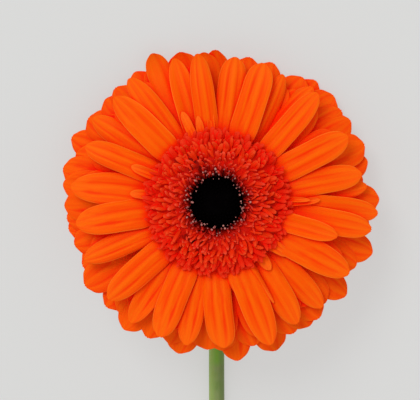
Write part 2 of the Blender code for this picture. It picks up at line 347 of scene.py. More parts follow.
def lip_finish(name, body, deep, edge_highlight, shade, base_reach=0.6):
    """The lips: deep red at the foot, painted red shade between them, a partly painted pale
    tip.
    """
    return leaf_finish(name, body, deep, edge_highlight, nerves=1.0, base_reach=base_reach,
                       edge_share=0.1, mottle=0.4, tip_share=0.65, cloud_scale=450.0,
                       shade=shade, shade_distance=0.0015)


# the fourth colour is the painted shade in the gaps between lips
LIP_FINISHES = (
    lip_finish("fringe_scarlet", (0.80, 0.021, 0.0025), (0.74, 0.004, 0.0008),
               (0.86, 0.058, 0.016), (1.0, 0.003, 0.0008)),
    lip_finish("fringe_red_orange", (0.81, 0.041, 0.003), (0.74, 0.005, 0.0008),
               (0.88, 0.092, 0.022), (0.97, 0.004, 0.0008)),
    lip_finish("fringe_crimson", (0.84, 0.042, 0.007), (0.68, 0.005, 0.001),
               (0.88, 0.110, 0.050), (0.85, 0.004, 0.001), 0.7),
    lip_finish("fringe_maroon", (0.68, 0.024, 0.012), (0.42, 0.005, 0.003),
               (0.78, 0.120, 0.080), (0.60, 0.006, 0.003), 0.8),
)
print("finishes:", [m.name for m in bpy.data.materials if m.name[:5] in ("petal", "fring")])

# %% [markdown]
# ## Ray florets
# Each long petal is the strap of one ray floret. It leaves the receptacle as a narrow claw,
# widens, and ends blunt with a hint of three teeth. Two grooves run along it.
# One petal could be modelled and copied round a circle, but real petals differ, and copies
# show at once. Here every petal is its own surface: its spine, width and direction are
# measured on its CAD strap, and the grooves, cup and twist are drawn from a seeded generator.

# %% Measure a CAD strap
def turn_matrix(angle):
    """Turns about the head's axis: a point in a petal's own frame times its transpose."""
    return np.array(((math.cos(angle), -math.sin(angle), 0),
                     (math.sin(angle), math.cos(angle), 0), (0, 0, 1)))


def measure_ray(name):
    """A strap's direction, and its spine and width, in the head's frame.

    The claw is the end nearest the axis, and its middle gives the direction. Turned to
    that direction, the strap's corners stand in rows across it. Each row's middle is a
    point of the spine, and half its spread is the half width.
    """
    points = to_head(node_points(name))
    reach = np.hypot(points[:, 0], points[:, 1])
    claw = points[reach < reach.min() + 0.4 * MM].mean(axis=0)
    direction = math.atan2(claw[1], claw[0])
    own = points @ turn_matrix(direction)
    own = own[np.argsort(own[:, 0])]
    rows = np.split(own, np.nonzero(np.diff(own[:, 0]) > 0.8 * MM)[0] + 1)
    x = np.array([row[:, 0].mean() for row in rows])
    y = np.array([(row[:, 1].min() + row[:, 1].max()) / 2 for row in rows])
    half = np.array([np.ptp(row[:, 1]) / 2 for row in rows])
    z = np.array([(row[:, 2].min() + row[:, 2].max()) / 2 for row in rows])
    return {"direction": direction, "start": x[0], "tip": x[-1],
            "spine_y": np.polyfit(x, y, 2), "spine_z": np.polyfit(x, z, 5),
            "half": half.max()}


front_names = sorted(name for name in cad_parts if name.startswith("ray_front"))
back_names = sorted(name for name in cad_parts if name.startswith("ray_back"))
rays = {name: measure_ray(name) for name in front_names + back_names}
print(len(front_names), "front and", len(back_names), "back straps measured;",
      f"the longest reaches {max(r['tip'] for r in rays.values()) / MM:.1f} mm")

# %% The surface of one petal
RAY_ROWS, RAY_COLUMNS = 44, 19
RAY_THICKNESS = 0.34 * MM
CLAW_WIDTH = 0.35             # share of the full width
GROOVE_WIDTH = 0.2            # share of the half width
RIM_DROP = 0.16               # share of the half width
WAVES = 1.4                   # along one petal
SURFACE_GAP, SURFACE_SOFTNESS = 0.02 * MM, 0.5 * MM


def ray_nature(random, width_gain=1.0):
    """How one petal differs from the next. Lengths in metres, the rest as shares."""
    return {
        "gain": width_gain,
        "cup": random.uniform(-0.22, 0.16),
        "groove": random.uniform(0.22, 0.42) * MM,
        "groove_at": 0.36 + random.uniform(-0.06, 0.06),
        "groove_shift": random.uniform(-0.12, 0.12),
        "twist": math.radians(random.uniform(-9, 9)),
        "wave": random.uniform(0.1, 0.35) * MM,
        "wave_phase": random.uniform(0, 2 * math.pi),
        "taper_from": random.uniform(0.56, 0.82),
        "tooth": random.uniform(0.0, 0.14) * MM,
    }


def smooth(value):
    """A smoothstep: 3 times the square minus 2 times the cube, held between 0 and 1."""
    value = np.clip(value, 0, 1)
    return value * value * (3 - 2 * value)


def ray_surface(ray, nature):
    """Upper and lower grid of a petal in the head's frame, and its UV.

    u runs along the petal and is crowded toward the tip, and v runs from -1 to 1 across.
    The width is a claw that swells smoothly, times a quarter ellipse toward the tip that
    stops just short of closing, and the last row closes it with its own curve. The height
    is the spine's, plus a cup that grows with v squared, minus two grooves shaped like bell
    curves, plus a twist that tilts the petal about its spine, and a slow wave along it.
    """
    s = np.linspace(0, 1, RAY_ROWS)[:, None]
    u = 1 - (1 - s) ** 1.7
    v = np.sin(np.linspace(-1, 1, RAY_COLUMNS) * math.pi / 2 * 0.92)[None, :]
    v = v / np.abs(v).max()
    length = ray["tip"] - ray["start"]
    half = ray["half"] * nature["gain"]
    near_end = np.clip((u - nature["taper_from"]) / (1 - nature["taper_from"]), 0, 1)
    width = half * (CLAW_WIDTH + (1 - CLAW_WIDTH) * smooth(u / 0.42))
    width = width * np.sqrt(1 - (0.975 * near_end) ** 2.3)
    rounding = 0.14 * half * (1 - np.sqrt(1 - 0.97 * v ** 2))
    teeth = nature["tooth"] * np.cos(3 * math.pi * v)
    x = ray["start"] + length * u - (rounding - teeth) * near_end ** 6
    y = np.polyval(ray["spine_y"], x) + width * v
    body = smooth(u / 0.25) * (1 - 0.8 * near_end ** 3)
    z = np.polyval(ray["spine_z"], x) + nature["cup"] * width * v ** 2 * body
    for centre in (-nature["groove_at"], nature["groove_at"]):
        bell = np.exp(-((v - centre - nature["groove_shift"]) / GROOVE_WIDTH) ** 2)
        z = z - nature["groove"] * bell * body
    z = z - RIM_DROP * width * np.abs(v) ** 5
    z = z + math.tan(nature["twist"]) * width * v * smooth(u / 0.6)
    wave = np.sin(2 * math.pi * WAVES * u + nature["wave_phase"])
    z = z + nature["wave"] * wave * smooth(u / 0.3)
    thickness = RAY_THICKNESS * (1 - 0.6 * v ** 4) * (1 - 0.4 * near_end ** 2)
    x, y, z, thickness = np.broadcast_arrays(x, y, z, thickness)
    turn = turn_matrix(ray["direction"]).T
    upper = np.stack((x, y, z + thickness / 2), axis=-1) @ turn
    lower = np.stack((x, y, z - thickness / 2), axis=-1) @ turn
    uv = np.stack(np.broadcast_arrays(u, (v + 1) / 2), axis=-1)
    return upper, lower, uv


def above_surface(points):
    """Bend whatever would sink into the surface so that it lies on it.

    The height becomes half of itself plus the root of its square and a small square, which
    leaves high points alone and brings low ones smoothly to just above zero.
    """
    z = points[:, 2] - SURFACE_GAP
    points[:, 2] = (z + np.sqrt(z ** 2 + SURFACE_SOFTNESS ** 2)) / 2 + SURFACE_GAP
    return points


def make_ray(name, ray, nature, finish, stands_for=()):
    """A petal's two grids brought into the world, kept off the surface and closed."""
    upper, lower, uv = ray_surface(ray, nature)
    points = to_world(np.concatenate((upper.reshape(-1, 3), lower.reshape(-1, 3))))
    points = above_surface(points)
    faces = slab_faces(RAY_ROWS, RAY_COLUMNS)
    both = np.concatenate((uv.reshape(-1, 2), uv.reshape(-1, 2)))
    make_piece(name, points, faces, both, finish, stands_for)


print("a petal has", len(slab_faces(RAY_ROWS, RAY_COLUMNS)), "faces")

# %% Front and back petals on their straps
FRONT_GAIN, BACK_GAIN = 1.08, 1.3
TIP_GAIN = 0.7 * MM
BLUNT = (0.7, 0.87)
# how far the edges of some front petals fold up (positive) or down
FOLDED = {"ray_front_05": -0.7, "ray_front_06": -0.5, "ray_front_10": 0.45,
          "ray_front_20": 0.4, "ray_front_28": 0.35}


def back_nature(random):
    """Petals of the back row are wider and end blunter."""
    nature = ray_nature(random, BACK_GAIN)
    nature["taper_from"] = random.uniform(*BLUNT)
    return nature


for ray in rays.values():
    ray["tip"] += TIP_GAIN
for name in front_names:
    nature = ray_nature(rng, FRONT_GAIN)
    nature["cup"] = FOLDED.get(name, nature["cup"])
    make_ray(name.replace("ray", "petal"), rays[name], nature, petal_finish, [name])
for name in back_names:
    make_ray(name.replace("ray", "petal"), rays[name], back_nature(rng), shaded_back_finish,
             [name])
print("petals made:", len(front_names) + len(back_names))

# %% [markdown]
# ## Petals the frame has no strap for
# The back row has about twice as many petals as the frame has straps for it. Each missing
# one lies between two measured neighbours, so its direction and length are shares of theirs.
# Seen from the side, a gerbera's rows close up without a gap, so each front petal also gets
# a shorter one below it, halfway down to the back row. Both kinds take their spines from
# measured straps, so they keep the flower's lean and the way it meets the surface.

# %% Petals between two back straps
# number of the back strap before it, how far on to the next, length over the mean of both
BETWEEN = (
    (1, 0.55, 0.926), (2, 0.38, 1.012), (3, 0.27, 0.985), (3, 0.59, 1.008), (4, 0.29, 0.987),
    (5, 0.43, 0.982), (6, 0.39, 0.980), (7, 0.43, 0.967), (8, 0.67, 0.999), (9, 0.55, 0.987),
    (10, 0.32, 0.949), (10, 0.70, 1.002), (11, 0.49, 0.997), (11, 0.78, 0.987),
    (12, 0.42, 0.992), (13, 0.38, 1.036), (14, 0.25, 0.970), (14, 0.52, 1.035),
    (15, 0.61, 0.965), (16, 0.45, 0.933), (16, 0.71, 0.936), (17, 0.44, 0.926),
    (18, 0.52, 0.964), (19, 0.22, 0.982), (19, 0.56, 0.941), (20, 0.61, 0.946),
    (21, 0.50, 0.941),
)
BETWEEN_RISE = 0.9 * MM


def ray_between(first, second, share, length):
    """A petal's spine and direction between two measured ones."""
    step = (second["direction"] - first["direction"]) % (2 * math.pi)
    spine = (1 - share) * first["spine_z"] + share * second["spine_z"]
    return {"direction": first["direction"] + step * share, "start": first["start"],
            "tip": (first["tip"] + second["tip"]) / 2 * length, "spine_y": np.zeros(3),
            "spine_z": spine + np.array((0, 0, 0, 0, 0, BETWEEN_RISE)), "half": first["half"]}


for number, (strap, share, length) in enumerate(BETWEEN, 1):
    one = rays[back_names[strap - 1]]
    other = rays[back_names[strap % len(back_names)]]
    make_ray(f"petal_between_{number:02d}", ray_between(one, other, share, length),
             back_nature(rng), shaded_back_finish)
print("petals between:", len(BETWEEN))

# %% Petals halfway between the rows
MIDDLE_LENGTH = 0.93
MIDDLE_TURN = math.radians(3.5)


def nearest_back(direction):
    """The measured back strap whose direction is closest."""
    def apart(name):
        return 1 - math.cos(rays[name]["direction"] - direction)
    return rays[min(back_names, key=apart)]


for number, name in enumerate(front_names, 1):
    ray = dict(rays[name])
    ray["direction"] += MIDDLE_TURN * (1 if number % 2 else -1)
    ray["tip"] *= MIDDLE_LENGTH
    ray["half"] = nearest_back(ray["direction"])["half"]
    ray["spine_z"] = (ray["spine_z"] + nearest_back(ray["direction"])["spine_z"]) / 2
    make_ray(f"petal_middle_{number:02d}", ray, ray_nature(rng), shaded_back_finish)
print("middle petals:", len(front_names))

# %% [markdown]
# ## Short petals
# Where the long petals meet the fringe a few florets are in between: straps that stopped
# early, some folded, some seen edge on. They break up the circle and make the flower look
# grown. They lie on top of the front row, so they rise more.

# %% Short petals on top of the front row
# direction and turn in degrees, tip radius and width in mm, slope, fold of the edges
SHORT_PETALS = (
    (94.0, 0.6, 37.6, 2.6, 0.10, 0.5), (103.5, -1.0, 31.5, 3.0, 0.12, 0.3),
    (109.0, 2.0, 34.5, 3.2, 0.10, 0.3), (157.0, 0.0, 33.0, 3.4, 0.20, 0.7),
    (173.0, 1.0, 31.0, 3.2, 0.20, 0.6), (280.5, 4.0, 34.6, 5.2, 0.12, -0.4),
    (298.0, 1.5, 41.0, 2.2, 0.14, -0.9), (309.5, -1.0, 30.5, 4.0, 0.12, 0.2),
    (322.5, 1.0, 31.8, 4.4, 0.12, 0.2), (358.5, 3.0, 36.5, 2.4, 0.14, 0.8),
    (3.5, -2.0, 33.0, 1.8, 0.18, 0.8),
)
SHORT_START = 12.0 * MM
SHORT_BASE = 0.6 * MM
SHORT_BEND = 9.0      # curvature of the spine, one over metres


def short_petal(direction, turn, tip, width, slope):
    """A spine that starts at the receptacle's edge, rises at a slope and bends back down."""
    offset = math.tan(math.radians(turn)) * (tip * MM)
    span = tip * MM - SHORT_START
    aside = np.array((offset / span ** 2, -2 * offset * SHORT_START / span ** 2,
                      offset * SHORT_START ** 2 / span ** 2))
    lift = 2 * SHORT_BEND * SHORT_START + slope + 0.1
    rise = np.array((-SHORT_BEND, lift, 0.0))
    rise[2] = SHORT_BASE - np.polyval(rise, SHORT_START)
    return {"direction": math.radians(direction), "start": SHORT_START, "tip": tip * MM,
            "spine_y": aside, "spine_z": rise, "half": width / 2 * MM}


# shade is the colour of the painted shade in crowded spots
short_finish = leaf_finish("short_petal_orange", (1.0, 0.115, 0.001), (0.80, 0.02, 0.001),
                           (1.0, 0.21, 0.02), base_reach=0.7, edge_share=0.8, tip_share=0.3,
                           shade=(0.96, 0.018, 0.0005))
for number, (direction, turn, tip, width, slope, fold) in enumerate(SHORT_PETALS, 1):
    nature = ray_nature(rng)
    nature["cup"] = fold
    nature["groove"] *= 0.4
    make_ray(f"petal_short_{number:02d}", short_petal(direction, turn, tip, width, slope),
             nature, short_finish)
print("short petals:", len(SHORT_PETALS))

# %% [markdown]
# ## The fringe
# The trans florets stand between the petals and the eye. Each has a short lip that rises
# from the receptacle, bends outward and rolls its edges in. There are several hundred, so
# each one is only a few dozen faces, and a whole tier is worked out as one array.
# An array modifier would give identical lips. Here every lip has its own reach, height,
# width and lean.

# %% A ring of leaves from their spines
LIP_GRID = (9, 4)             # rows and columns
LIP_THICKNESS = 0.3 * MM


def ring_of_leaves(angle, spine, half, roll, thickness, lean, columns):
    """Points and UV of many leaves round the head's axis, as closed two-sided grids.

    Each leaf has a spine of (radius, height) rows and a half width at each row. Across
    it, v runs from -1 to 1: the point moves v half widths sideways, and v squared times
    the roll along the spine's normal, so the edges stand up like a gutter's. lean is
    added to the leaf's angle row by row.
    """
    v = np.linspace(-1, 1, columns)
    tangent = unit(np.gradient(spine, axis=1))
    normal = np.stack((-tangent[..., 1], tangent[..., 0]), axis=-1)
    lift = roll[:, None, None] * half[..., None] * v ** 2
    wall = thickness * (1 - 0.5 * np.abs(v))
    across = half[..., None] * v
    turn = (angle[:, None] + lean)[..., None]
    grids = []
    for side in (0.5, -0.5):
        r = spine[..., 0, None] + normal[..., 0, None] * (lift + side * wall)
        z = spine[..., 1, None] + normal[..., 1, None] * (lift + side * wall)
        grids.append(np.stack((r * np.cos(turn) - across * np.sin(turn),
                               r * np.sin(turn) + across * np.cos(turn), z), axis=-1))
    count, rows = spine.shape[:2]
    points = np.stack(grids, axis=1).reshape(count, -1, 3)
    u = np.linspace(0, 1, rows)
    uv = np.stack(np.broadcast_arrays(u[:, None], (v[None, :] + 1) / 2), axis=-1)
    uv = uv.reshape(-1, 2)
    return points, np.tile(np.concatenate((uv, uv)), (count, 1))


def make_leaves(name, points, uv, grid, finish, stands_for):
    """One piece out of a ring of leaves that all have the same grid of rows and columns."""
    faces = many(slab_faces(*grid), points.shape[1], len(points))
    make_piece(name, to_world(points.reshape(-1, 3)), faces, uv, finish, stands_for)


def bend(start, knee, end, u):
    """A quadratic curve for each leaf: it leaves start toward knee and arrives at end."""
    u = u[None, :, None]
    start, knee, end = start[:, None], knee[:, None], end[:, None]
    return (1 - u) ** 2 * start + 2 * u * (1 - u) * knee + u ** 2 * end


print("a lip has", len(slab_faces(*LIP_GRID)), "faces")

# %% Lips in tiers
def lip_tier(count, foot, tip, rise, width, roll, spread, curl, random):
    """A tier of lips: up from the foot, then out, with the tip curled down or up.

    The spine is a quadratic curve from the foot past a knee to the end. The width is
    narrow in the lower half, swells smoothly and closes like the end of an ellipse. The
    lip leans aside with the square of u. Seven random numbers vary each lip.
    """
    jitter = random.uniform(-1, 1, (count, 7))
    angle = (np.arange(count) + 0.45 * jitter[:, 0]) * 2 * math.pi / count
    reach = foot + (tip - foot) * (1 + spread * jitter[:, 1])
    top = rise * (1 + 0.5 * spread * jitter[:, 2])
    start = np.stack((np.full(count, foot), np.full(count, 0.5 * MM)), axis=-1)
    knee = np.stack((foot + (0.5 + 0.25 * jitter[:, 6]) * (reach - foot),
                     top * (0.8 - 0.3 * jitter[:, 6])), axis=-1)
    end = np.stack((reach, top * (1 - curl + curl * jitter[:, 4])), axis=-1)
    u = 1 - (1 - np.linspace(0, 1, LIP_GRID[0])) ** 1.5
    outline = 0.42 + 0.58 * smooth((u - 0.45) / 0.35)
    outline = outline * np.sqrt(1 - (0.95 * np.clip((u - 0.82) / 0.18, 0, 1)) ** 2.2)
    half = (width / 2 * (1 + 0.3 * jitter[:, 3]))[:, None] * outline[None, :]
    lean = 0.17 * jitter[:, 5, None] * u[None, :] ** 2
    gutter = roll * (0.2 + 1.2 * jitter[:, 4])
    return ring_of_leaves(angle, bend(start, knee, end, u), half, gutter,
                          LIP_THICKNESS, lean, LIP_GRID[1])


# count, foot radius, tip radius, height, width (mm), gutter, spread, curl, CAD node, finish
TIERS = (
    (78, 15.0, 26.2, 4.6, 1.80, 0.4, 0.08, 0.28, "trans_florets_outer", 0),
    (82, 14.7, 25.2, 5.4, 1.75, 0.5, 0.09, 0.26, None, 0),
    (84, 14.3, 24.0, 6.2, 1.65, 0.5, 0.10, 0.26, None, 0),
    (84, 13.8, 22.7, 6.9, 1.60, 0.6, 0.10, 0.24, "trans_florets_middle", 1),
    (84, 13.3, 21.3, 7.5, 1.50, 0.6, 0.11, 0.22, None, 1),
    (82, 12.7, 19.8, 8.0, 1.40, 0.6, 0.12, 0.20, None, 1),
    (80, 12.1, 18.2, 8.3, 1.25, 0.6, 0.12, 0.18, "trans_florets_inner", 2),
    (78, 11.4, 16.6, 8.4, 1.10, 0.6, 0.14, 0.18, None, 2),
    (76, 10.7, 14.9, 8.3, 0.95, 0.6, 0.15, 0.16, None, 2),
    (78, 10.0, 13.2, 7.9, 0.85, 0.6, 0.16, 0.15, None, 3),
    (76, 9.2, 11.4, 7.3, 0.70, 0.5, 0.18, 0.15, None, 3),
)
for number, (count, *lengths, roll, spread, curl, node, finish) in enumerate(TIERS, 1):
    points, uv = lip_tier(count, *(length * MM for length in lengths), roll, spread, curl, rng)
    make_leaves(f"fringe_{number}", points, uv, LIP_GRID, LIP_FINISHES[finish],
                [node] if node else ())
print("lips:", sum(tier[0] for tier in TIERS))

# %% [markdown]
# ## The dark eye
# The middle of the disc holds florets that haven't opened. Plants pack them by turning each
# new one 137.5 degrees on from the last, which fills a disc evenly with no rows that line up.
# Each bud is a small turned shape: a round shoulder with a blunt point. Round the eye's edge
# the first florets have opened and pushed up slim tubes with pale pink ends.

# %% Small turned shapes in one array
TURNED_SIDES = 7
LEAST_LIKELY = np.array((0.31, 0.95, 0.07))     # no bud or tube points this way


def turned_faces(rings, sides, copies):
    """Walls of quads between the rings and a polygon at each end, for every copy."""
    number = np.arange(rings * sides).reshape(rings, sides)
    turned = np.roll(number, -1, axis=1)
    walls = np.stack((number[:-1], number[1:], turned[1:], turned[:-1]), axis=-1)
    ends = np.stack((number[0], number[-1][::-1]))
    per_copy = rings * sides
    walls = many(walls.reshape(-1, 4), per_copy, copies)
    return walls.tolist() + many(ends, per_copy, copies).tolist()


def turned_copies(foot, top, radius, rings):
    """Points of many slim turned shapes, each along its own straight line.

    rings lists (share of the way from top to foot, share of the radius). Each ring is a
    circle across the line, and the line may lean.
    """
    along = unit(foot - top)
    first = unit(np.cross(along, LEAST_LIKELY))
    second = np.cross(along, first)
    angle = np.arange(TURNED_SIDES) * 2 * math.pi / TURNED_SIDES
    spoke = (first[:, None, :] * np.cos(angle)[None, :, None]
             + second[:, None, :] * np.sin(angle)[None, :, None])
    share = np.array([r[0] for r in rings])
    size = np.array([r[1] for r in rings])
    centre = top[:, None, :] + (foot - top)[:, None, :] * share[None, :, None]
    points = (centre[:, :, None, :]
              + spoke[:, None] * (radius[:, None] * size[None, :])[..., None, None])
    uv = np.broadcast_to(np.stack((1 - share, 0.5 + 0 * share), axis=-1)[None, :, None, :],
                         (len(foot), len(rings), TURNED_SIDES, 2))
    return points.reshape(-1, 3), uv.reshape(-1, 2)


def on_disc(radius, angle, height):
    """Points in the head's frame from distance to the axis, direction and height."""
    return np.stack((radius * np.cos(angle), radius * np.sin(angle), height), axis=-1)


print("a turned shape with 5 rings has", len(turned_faces(5, TURNED_SIDES, 1)), "faces")

# %% Buds on a golden-angle spiral
BUDS = 150
EYE_RADIUS = 8.0 * MM
GOLDEN_ANGLE = math.radians(137.50776)
# share of the way from top to foot, share of the radius
BUD_RINGS = ((0.0, 0.06), (0.08, 0.5), (0.25, 0.88), (0.5, 1.0), (1.0, 0.7))

number = np.arange(BUDS) + 0.5
share = np.sqrt(number / BUDS)
angle = number * GOLDEN_ANGLE
floor_height = 1.4 * MM * (1 - 0.4 * share ** 2)
tall = 2.6 * MM * (0.75 + 0.55 * share) * rng.uniform(0.85, 1.2, BUDS)
bud_foot = on_disc(EYE_RADIUS * share, angle, floor_height)
bud_top = on_disc(EYE_RADIUS * share * 1.06, angle, floor_height + tall)
bud_radius = 0.66 * MM * (0.85 + 0.2 * share) * rng.uniform(0.85, 1.1, BUDS)
points, uv = turned_copies(bud_foot, bud_top, bud_radius, BUD_RINGS)
eye_finish = leaf_finish("eye_black", (0.0016, 0.0012, 0.0014), (0.0008, 0.0005, 0.0006),
                         (0.003, 0.0014, 0.002), nerves=3.0, glow=0.0, gloss=0.0)
make_piece("eye_buds", to_world(points), turned_faces(len(BUD_RINGS), TURNED_SIDES, BUDS), uv,
           eye_finish, ["disc_florets"])
print("buds:", BUDS)

# %% Opened tubes round the eye
TUBES = 96
TUBE_RINGS = ((0.0, 0.35), (0.03, 1.0), (0.11, 1.0), (0.15, 0.6), (1.0, 0.55))
wobble = rng.uniform(-1, 1, (TUBES, 4))
angle = (np.arange(TUBES) + 0.5 * wobble[:, 0]) * 2 * math.pi / TUBES
tube_foot = on_disc((9.0 + 0.4 * wobble[:, 1]) * MM, angle, np.full(TUBES, 1.0 * MM))
tube_top = on_disc((10.2 + 1.9 * wobble[:, 1]) * MM, angle + 0.08 * wobble[:, 3],
                   (7.4 + 1.0 * wobble[:, 2] + 1.0 * wobble[:, 1]) * MM)
points, uv = turned_copies(tube_foot, tube_top, rng.uniform(0.18, 0.42, TUBES) * MM, TUBE_RINGS)


def tube_finish():
    """Dark maroon tube with a pale pink end: U is 1 at the tip."""
    material, tree, shader = new_material("tube_pink_tip")
    along, _, place = coordinates(tree)
    tip = fade(tree, along, 0.84, 0.92)
    tone = blend_colour(tree, fade(tree, noise(tree, place, 900.0), 0.35, 0.65),
                        (0.24, 0.03, 0.03, 1), (0.55, 0.24, 0.20, 1))
    colour = blend_colour(tree, tip, (0.035, 0.002, 0.003, 1), tone)
    set_inputs(tree, shader, {"Base Color": colour, "Roughness": 0.6,
                              "Specular IOR Level": 0.15})
    return material


make_piece("opened_tubes", to_world(points), turned_faces(len(TUBE_RINGS), TURNED_SIDES, TUBES),
           uv, tube_finish(), ["anther_tubes"])
print("opened tubes:", TUBES)

# %% [markdown]
# ## Bracts and receptacle
# From behind, a gerbera shows a green cup: rows of narrow pointed leaves, the bracts, that
# wrapped the bud. They overlap like roof tiles over a round cushion, the receptacle. The
# bracts follow the slope of their CAD ring, and the cushion is one turned profile.

# %% Bracts along the CAD rings
BRACT_GRID = (16, 7)
BRACT_THICKNESS = 0.35 * MM


def ring_profile(name, rows):
    """A CAD ring's middle line from its foot to its tips, as (radius, height) rows."""
    points = to_head(node_points(name))
    radius = np.hypot(points[:, 0], points[:, 1])
    slope = np.polyfit(radius, points[:, 2], 3)
    reach = np.linspace(radius.min(), radius.max(), rows)
    return np.stack((reach, np.polyval(slope, reach)), axis=-1)


def bract_row(name, node, count, width, lift):
    """A row of bracts: lance-shaped, keeled, each a little off its even place."""
    profile = ring_profile(node, BRACT_GRID[0])
    jitter = rng.uniform(-1, 1, (count, 4))
    angle = (np.arange(count) + 0.25 * jitter[:, 0]) * 2 * math.pi / count
    u = np.linspace(0, 1, BRACT_GRID[0])
    spine = np.repeat(profile[None], count, axis=0)
    spine[..., 0] *= 1 + 0.03 * jitter[:, 1, None] * u
    spine[..., 1] += (lift + 0.25 * MM * jitter[:, 2, None]) * u ** 2
    outline = np.sin(math.pi * (0.14 + 0.84 * u ** 0.8)) ** 0.8
    half = width / 2 * (1 + 0.15 * jitter[:, 3, None]) * outline[None, :]
    points, uv = ring_of_leaves(angle, spine, half, np.full(count, 0.35), BRACT_THICKNESS,
                                0.03 * jitter[:, 1, None] * u, BRACT_GRID[1])
    make_leaves(name, points, uv, BRACT_GRID, bract_finish, [node])


bract_finish = leaf_finish("bract_green", (0.13, 0.235, 0.045), (0.055, 0.12, 0.02),
                           (0.36, 0.42, 0.17), nerves=3.0, base_reach=0.5, relief=0.00008,
                           glow=0.1, gloss=0.25)
LONG_BRACTS, SHORT_BRACTS = 26, 22
bract_row("bracts_long", "bracts_inner", LONG_BRACTS, 3.4 * MM, 0.5 * MM)
bract_row("bracts_short", "bracts_outer", SHORT_BRACTS, 3.0 * MM, 0.3 * MM)
print("bracts:", LONG_BRACTS + SHORT_BRACTS)

# %% The receptacle as one turned profile
def turned_skin(profile, sides):
    """Points, faces and UV of a closed turned shape whose profile runs from top to foot."""
    angle = np.arange(sides) * 2 * math.pi / sides
    points = np.stack((profile[:, :1] * np.cos(angle), profile[:, :1] * np.sin(angle),
                       profile[:, 1:] + 0 * angle), axis=-1).reshape(-1, 3)
    share = np.linspace(0, 1, len(profile))
    uv = np.stack(np.broadcast_arrays(share[:, None], (angle / (2 * math.pi))[None]), axis=-1)
    return points, turned_faces(len(profile), sides, 1), uv


def turned_piece(name, profile, sides, finish, stands_for=()):
    """A closed turned shape as a piece, its profile given in the head's frame."""
    points, faces, uv = turned_skin(profile, sides)
    make_piece(name, to_world(points), faces, uv, finish, stands_for)


cushion_head = to_head(cushion)
cushion_radius = np.hypot(cushion_head[:, 0], cushion_head[:, 1]).max()
POLE = 0.02 * MM              # a ring this small closes a turned shape at its axis
FOOT_RADIUS = 3.0 * MM
WALL_DEPTH = 8.4 * MM         # the side is straight this far down, then rounds in
side_radius = cushion_radius * 0.95
steps = np.linspace(0, 1, 30)[:, None]
quarter = steps * math.pi / 2
profile = np.concatenate((
    ((POLE, 0.0), (cushion_radius * 0.9, -0.05 * MM)),
    (side_radius, -0.3 * MM) + steps[::6] * (0.02 * MM, -8.0 * MM),
    np.concatenate((FOOT_RADIUS + (side_radius - FOOT_RADIUS) * np.cos(quarter),
                    -WALL_DEPTH - (cushion_depth - WALL_DEPTH) * np.sin(quarter)), axis=1),
    ((POLE, -cushion_depth),),
))
cushion_finish = leaf_finish("receptacle_green", (0.20, 0.29, 0.08), (0.10, 0.17, 0.04),
                             (0.3, 0.38, 0.15), nerves=40.0, glow=0.1, gloss=0.2)
turned_piece("cushion", profile, 48, cushion_finish, ["receptacle"])
print(f"cushion: {cushion_radius / MM:.1f} mm in radius, {cushion_depth / MM:.1f} mm deep")

# %% [markdown]
# ## Under the buds and the fringe
# A real disc holds the lower halves of all those florets, packed side by side, so no gap
# between two buds or two lips shows the bare green cushion. Modelling each tube would cost
# many faces nobody sees. Two low turned shapes do the same work: a black one under the buds,
# and one under the lips that is red in the gaps and fades to near black toward the eye. Its
# rows are interpolated between a few radii and lie close together, so the fade has room.

# %% The bed under the buds
bed = np.array(((0.02, 3.6), (3.0, 3.5), (6.0, 3.1), (8.0, 2.6), (9.2, 1.9), (9.3, 0.1))) * MM
turned_piece("eye_bed", bed, 36, eye_finish)
print("bed under the buds:", bed[-1, 0] / MM, "mm in radius")

# %% The bed under the fringe
packed_radius = np.linspace(8.9, 24.2, 62)
packed_height = np.interp(packed_radius,
                          (8.9, 9.5, 10.5, 11.6, 13.0, 14.5, 17.0, 20.0, 22.5, 24.2),
                          (0.9, 2.1, 3.6, 4.9, 5.9, 6.2, 5.7, 4.7, 3.5, 2.4))
packed = np.concatenate((((0.02, 0.9), (8.7, 0.9)),
                         np.stack((packed_radius, packed_height), axis=1),
                         ((23.6, 1.8), (13.0, 0.6), (0.02, 0.6)))) * MM
bed_finish = leaf_finish("fringe_bed_red", (0.80, 0.009, 0.0015), (0.012, 0.001, 0.001),
                         (0.8, 0.02, 0.005), nerves=90.0, base_reach=0.32, edge_share=0.0,
                         mottle=0.3, tip_share=0.0, cloud_scale=450.0,
                         shade_distance=0.00001)
turned_piece("fringe_bed", packed, 90, bed_finish)
print("bed under the fringe:", len(packed), "rows,", packed_radius[0], "to",
      packed_radius[-1], "mm")

# %% [markdown]
# ## The stem
# A gerbera stem is leafless, round and covered in soft down, a little thicker and often
# reddish where it was cut. It is hollow lower down. The path is the CAD's own rule: leave
# the head along its axis, turn smoothly to level while coming down to the surface, then lie
# there with a gentle bow. The tube is a circle with shallow ribs carried along that path.

# %% The stem's path
NECK_RADIUS, CUT_RADIUS = 2.8 * MM, 3.4 * MM
BOW, BOW_START = 14.0 * MM, 70.0 * MM
STEM_LENGTH = 400.0 * MM
STEM_ROWS, STEM_SIDES = 240, 48
NECK_GAP, NECK_STEPS = 0.3 * MM, 400


